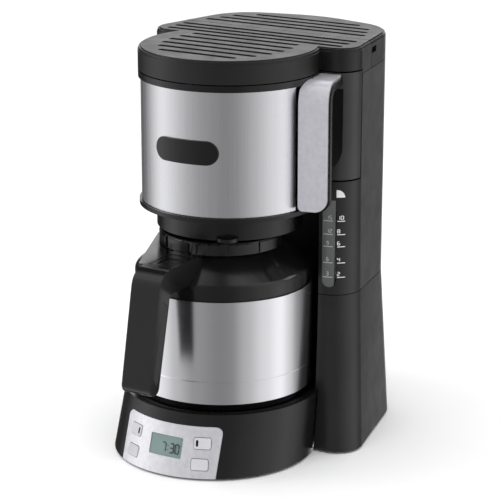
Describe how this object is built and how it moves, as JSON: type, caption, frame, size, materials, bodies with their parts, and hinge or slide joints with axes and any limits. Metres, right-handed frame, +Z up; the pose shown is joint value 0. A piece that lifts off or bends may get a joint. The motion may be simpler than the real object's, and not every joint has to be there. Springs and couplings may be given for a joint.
{
  "type": "drip coffee maker",
  "caption": "Drip coffee maker with a swing-out filter drum, rear water tank with hinged lid, control panel and a thermal steel jug.",
  "frame": {"origin": "on the ground under the middle of the bounding box", "axes": "+Z up, front of the machine towards -Y, +X to the machine's right as seen from the front"},
  "size_m": [0.223, 0.2978, 0.34],
  "materials": {
    "base_pan": "moulded ABS, matt",
    "rubber_feet": "matt rubber",
    "base_screws": "zinc plated",
    "base_housing": "moulded ABS, satin gloss",
    "jug_deck": "moulded, matt",
    "control_fascia": "fine satin metal finish",
    "display_window": "liquid crystal display",
    "display_module": "matt",
    "control_board": "circuit board",
    "board_screws": "zinc plated",
    "power_button": "silver lacquer",
    "power_lens": "dark lens",
    "timer_button": "silver lacquer",
    "strength_button": "silver lacquer",
    "strength_lens": "dark lens",
    "clock_button": "silver lacquer",
    "flow_heater": "die cast",
    "heater_clamps": "pressed sheet",
    "thermostat": "phenolic",
    "cord_gland": "moulded rubber",
    "column_lower": "moulded ABS, satin gloss",
    "tank_housing": "moulded ABS, satin gloss",
    "water_tank": "tinted clear plastic",
    "check_valve": "moulded",
    "inlet_hose": "silicone",
    "riser_tube": "silicone",
    "gauge_window": "tinted clear plastic",
    "gauge_marks": "printed white",
    "top_cover": "moulded ABS, satin gloss",
    "spray_arm": "moulded",
    "spray_head": "moulded",
    "tank_lid": "moulded ABS, satin gloss",
    "tank_lid_pin": "ground pin",
    "door_hinge_pin": "ground pin",
    "door_shell": "moulded ABS, satin gloss",
    "drum_skin": "vertical brushed stainless sheet",
    "drum_badge": "blank badge",
    "door_wing": "moulded ABS, satin gloss",
    "door_handle_core": "moulded ABS",
    "door_handle_plate": "satin chrome",
    "handle_screws": "zinc plated",
    "filter_basket": "moulded polypropylene",
    "mesh_filter": "gold tone mesh",
    "drip_valve": "moulded",
    "valve_spring": "spring wire",
    "jug_foot": "moulded",
    "jug_shell": "horizontally brushed stainless steel",
    "jug_liner": "drawn stainless steel",
    "jug_shoulder": "moulded, gloss",
    "jug_grip": "moulded, satin",
    "grip_insert": "soft touch",
    "pour_lever": "moulded",
    "pour_lever_pin": "ground pin",
    "jug_lid": "moulded, gloss",
    "jug_lid_seal": "silicone"
  },
  "bodies": {
    "machine": {"base_pan": "base_pan", "rubber_feet": "rubber_feet", "base_screws": "base_screws", "base_housing": "base_housing", "jug_deck": "jug_deck", "control_fascia": "control_fascia", "display_window": "display_window", "display_module": "display_module", "control_board": "control_board", "board_screws": "board_screws", "flow_heater": "flow_heater", "heater_clamps": "heater_clamps", "thermostat": "thermostat", "cord_gland": "cord_gland", "column_lower": "column_lower", "tank_housing": "tank_housing", "water_tank": "water_tank", "check_valve": "check_valve", "inlet_hose": "inlet_hose", "riser_tube": "riser_tube", "gauge_window": "gauge_window", "gauge_marks": "gauge_marks", "top_cover": "top_cover", "spray_arm": "spray_arm", "spray_head": "spray_head", "door_hinge_pin": "door_hinge_pin"},
    "door": {"door_shell": "door_shell", "drum_skin": "drum_skin", "drum_badge": "drum_badge", "door_wing": "door_wing", "door_handle_core": "door_handle_core", "door_handle_plate": "door_handle_plate", "handle_screws": "handle_screws", "filter_basket": "filter_basket", "mesh_filter": "mesh_filter"},
    "drip_stop": {"drip_valve": "drip_valve", "valve_spring": "valve_spring"},
    "tank_flap": {"tank_lid": "tank_lid", "tank_lid_pin": "tank_lid_pin"},
    "jug": {"jug_foot": "jug_foot", "jug_shell": "jug_shell", "jug_liner": "jug_liner", "jug_shoulder": "jug_shoulder", "jug_grip": "jug_grip", "grip_insert": "grip_insert", "pour_lever_pin": "pour_lever_pin"},
    "jug_cap": {"jug_lid": "jug_lid", "jug_lid_seal": "jug_lid_seal"},
    "jug_pour_lever": {"pour_lever": "pour_lever"},
    "power_key": {"power_button": "power_button", "power_lens": "power_lens"},
    "timer_key": {"timer_button": "timer_button"},
    "strength_key": {"strength_button": "strength_button", "strength_lens": "strength_lens"},
    "clock_key": {"clock_button": "clock_button"}
  },
  "joints": [
    {"name": "door_hinge", "type": "hinge", "parent": "machine", "child": "door", "pos_m": [-0.08, 0.0134, 0.262], "axis": [0, 0, -1], "range_deg": [0, 90]},
    {"name": "drip_stop_slide", "type": "slide", "parent": "door", "child": "drip_stop", "axis": [0, 0, 1], "range_m": [0, 0.0025], "stiffness_N_per_m": 250, "springref_m": -0.003, "deforming": ["valve_spring"]},
    {"name": "tank_lid_hinge", "type": "hinge", "parent": "machine", "child": "tank_flap", "pos_m": [0, 0.1449, 0.3222], "axis": [-1, 0, 0], "range_deg": [0, 85]},
    {"name": "jug_slide", "type": "slide", "parent": "machine", "child": "jug", "axis": [0, -1, 0], "range_m": [0, 0.2]},
    {"name": "jug_lid_twist", "type": "hinge", "parent": "jug", "child": "jug_cap", "pos_m": [0, -0.0186, 0.183], "axis": [0, 0, 1], "range_deg": [0, 40]},
    {"name": "pour_lever_hinge", "type": "hinge", "parent": "jug", "child": "jug_pour_lever", "pos_m": [0, -0.0876, 0.1738], "axis": [1, 0, 0], "range_deg": [0, 6], "stiffness_Nm_per_rad": 0.2, "springref_deg": -6.88},
    {"name": "power_button_slide", "type": "slide", "parent": "machine", "child": "power_key", "axis": [0.3694, 0.8787, -0.3024], "range_m": [0, 0.0012], "stiffness_N_per_m": 300, "springref_m": -0.0006},
    {"name": "timer_button_slide", "type": "slide", "parent": "machine", "child": "timer_key", "axis": [0.3694, 0.8787, -0.3024], "range_m": [0, 0.0012], "stiffness_N_per_m": 300, "springref_m": -0.0006},
    {"name": "strength_button_slide", "type": "slide", "parent": "machine", "child": "strength_key", "axis": [-0.3694, 0.8787, -0.3024], "range_m": [0, 0.0012], "stiffness_N_per_m": 300, "springref_m": -0.0006},
    {"name": "clock_button_slide", "type": "slide", "parent": "machine", "child": "clock_key", "axis": [-0.3694, 0.8787, -0.3024], "range_m": [0, 0.0012], "stiffness_N_per_m": 300, "springref_m": -0.0006}
  ]
}
